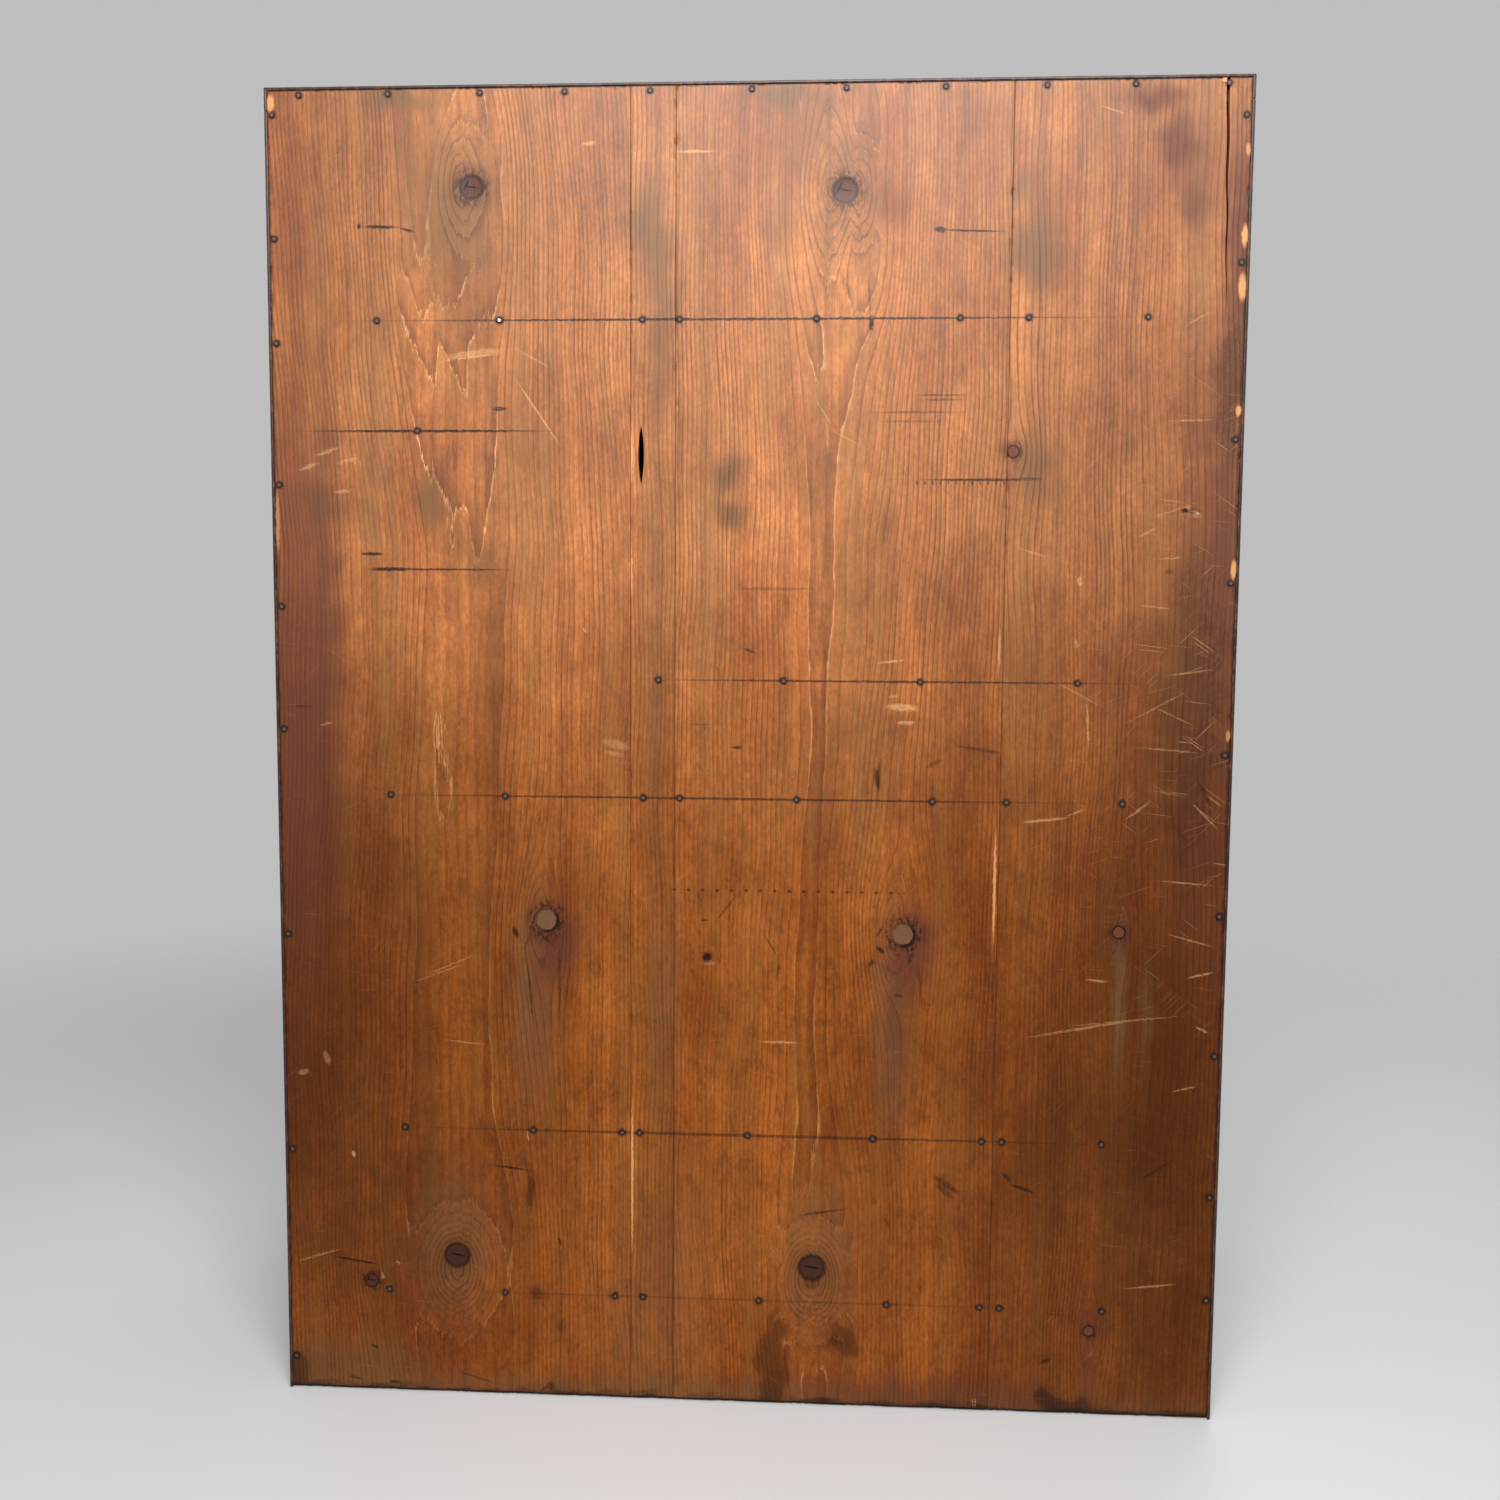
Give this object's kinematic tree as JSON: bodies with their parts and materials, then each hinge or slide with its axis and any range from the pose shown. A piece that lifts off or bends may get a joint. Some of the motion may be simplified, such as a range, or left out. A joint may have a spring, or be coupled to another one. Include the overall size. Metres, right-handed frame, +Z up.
{
  "type": "storage cabinet",
  "caption": "Freestanding wooden storage cabinet with sliding doors, drawers and a small hinged door, closed at the rear by nailed upright boards.",
  "frame": {"origin": "on the floor, at the centre of the overall footprint, from the knob to the nail heads", "axes": "+Z up, -Y towards the front with the doors and drawers, +Y towards the boarded back, +X to the right seen from the front"},
  "size_m": [0.758, 0.384, 1.051],
  "materials": {
    "case_lacquer": "dark brown-black lacquer, worn satin",
    "cedar_back": "aged orange-brown cedar, thin oiled sheen",
    "frame_lacquer": "dark brown lacquer, satin",
    "panel_wood": "red-brown wiped lacquer, satin",
    "drawer_wood": "bare pale softwood",
    "iron": "blackened iron, dull, faint rust"
  },
  "bodies": {
    "case": {"left_side": "case_lacquer", "right_side": "case_lacquer", "top_board": "case_lacquer", "upper_shelf": "case_lacquer", "middle_shelf": "case_lacquer", "lower_shelf": "case_lacquer", "bottom_board": "case_lacquer", "partition": "case_lacquer", "door_shelf": "case_lacquer", "small_shelf_upper": "case_lacquer", "small_shelf_lower": "case_lacquer", "front_apron": "case_lacquer", "back_board_1": "cedar_back", "back_strip": "cedar_back", "back_board_2": "cedar_back", "back_board_3": "cedar_back", "edge_nails": "iron", "shelf_nails": "iron", "hinge_case_leaves": "iron", "hinge_pins": "iron"},
    "top_door_left": {"top_door_left_frame": "frame_lacquer", "top_door_left_panel": "panel_wood", "top_door_left_pull": "iron"},
    "top_door_right": {"top_door_right_frame": "frame_lacquer", "top_door_right_panel": "panel_wood", "top_door_right_pull": "iron"},
    "middle_door_left": {"middle_door_left_frame": "frame_lacquer", "middle_door_left_panel": "panel_wood", "middle_door_left_pull": "iron"},
    "middle_door_right": {"middle_door_right_frame": "frame_lacquer", "middle_door_right_panel": "panel_wood", "middle_door_right_pull": "iron"},
    "lower_door_left": {"lower_door_left_frame": "frame_lacquer", "lower_door_left_panel": "panel_wood", "lower_door_left_pull": "iron"},
    "lower_door_right": {"lower_door_right_frame": "frame_lacquer", "lower_door_right_panel": "panel_wood", "lower_door_right_pull": "iron"},
    "wide_drawer": {"wide_drawer_front": "panel_wood", "wide_drawer_box": "drawer_wood", "wide_drawer_posts": "iron"},
    "small_drawer_1": {"small_drawer_1_front": "panel_wood", "small_drawer_1_box": "drawer_wood", "small_drawer_1_posts": "iron"},
    "small_drawer_2": {"small_drawer_2_front": "panel_wood", "small_drawer_2_box": "drawer_wood", "small_drawer_2_posts": "iron"},
    "base_drawer": {"base_drawer_front": "panel_wood", "base_drawer_box": "drawer_wood", "base_drawer_posts": "iron"},
    "wide_drawer_bail_body": {"wide_drawer_bail": "iron"},
    "small_drawer_1_bail_body": {"small_drawer_1_bail": "iron"},
    "small_drawer_2_bail_body": {"small_drawer_2_bail": "iron"},
    "base_drawer_bail_left_body": {"base_drawer_bail_left": "iron"},
    "base_drawer_bail_right_body": {"base_drawer_bail_right": "iron"},
    "cupboard": {"cupboard_door": "panel_wood", "cupboard_knob": "iron", "hinge_door_leaves": "iron"}
  },
  "joints": [
    {"name": "top_door_left_slide", "type": "slide", "parent": "case", "child": "top_door_left", "axis": [1, 0, 0], "range_m": [0, 0.344]},
    {"name": "top_door_right_slide", "type": "slide", "parent": "case", "child": "top_door_right", "axis": [-1, 0, 0], "range_m": [0, 0.344]},
    {"name": "middle_door_left_slide", "type": "slide", "parent": "case", "child": "middle_door_left", "axis": [1, 0, 0], "range_m": [0, 0.221]},
    {"name": "middle_door_right_slide", "type": "slide", "parent": "case", "child": "middle_door_right", "axis": [-1, 0, 0], "range_m": [0, 0.221]},
    {"name": "lower_door_left_slide", "type": "slide", "parent": "case", "child": "lower_door_left", "axis": [1, 0, 0], "range_m": [0, 0.344]},
    {"name": "lower_door_right_slide", "type": "slide", "parent": "case", "child": "lower_door_right", "axis": [-1, 0, 0], "range_m": [0, 0.344]},
    {"name": "wide_drawer_slide", "type": "slide", "parent": "case", "child": "wide_drawer", "axis": [0, -1, 0], "range_m": [0, 0.25]},
    {"name": "small_drawer_1_slide", "type": "slide", "parent": "case", "child": "small_drawer_1", "axis": [0, -1, 0], "range_m": [0, 0.25]},
    {"name": "small_drawer_2_slide", "type": "slide", "parent": "case", "child": "small_drawer_2", "axis": [0, -1, 0], "range_m": [0, 0.25]},
    {"name": "base_drawer_slide", "type": "slide", "parent": "case", "child": "base_drawer", "axis": [0, -1, 0], "range_m": [0, 0.25]},
    {"name": "wide_drawer_bail_swing", "type": "hinge", "parent": "wide_drawer", "child": "wide_drawer_bail_body", "pos_m": [-0.123, -0.181, 0.5585], "axis": [-1, 0, 0], "range_deg": [0, 90]},
    {"name": "small_drawer_1_bail_swing", "type": "hinge", "parent": "small_drawer_1", "child": "small_drawer_1_bail_body", "pos_m": [0.246, -0.181, 0.839], "axis": [-1, 0, 0], "range_deg": [0, 90]},
    {"name": "small_drawer_2_bail_swing", "type": "hinge", "parent": "small_drawer_2", "child": "small_drawer_2_bail_body", "pos_m": [0.246, -0.181, 0.744], "axis": [-1, 0, 0], "range_deg": [0, 90]},
    {"name": "base_drawer_bail_left_swing", "type": "hinge", "parent": "base_drawer", "child": "base_drawer_bail_left_body", "pos_m": [-0.1805, -0.181, 0.167], "axis": [-1, 0, 0], "range_deg": [0, 90]},
    {"name": "base_drawer_bail_right_swing", "type": "hinge", "parent": "base_drawer", "child": "base_drawer_bail_right_body", "pos_m": [0.1805, -0.181, 0.167], "axis": [-1, 0, 0], "range_deg": [0, 90]},
    {"name": "cupboard_hinge", "type": "hinge", "parent": "case", "child": "cupboard", "pos_m": [0.3597, -0.1753, 0.5915], "axis": [0, 0, 1], "range_deg": [0, 110]}
  ]
}
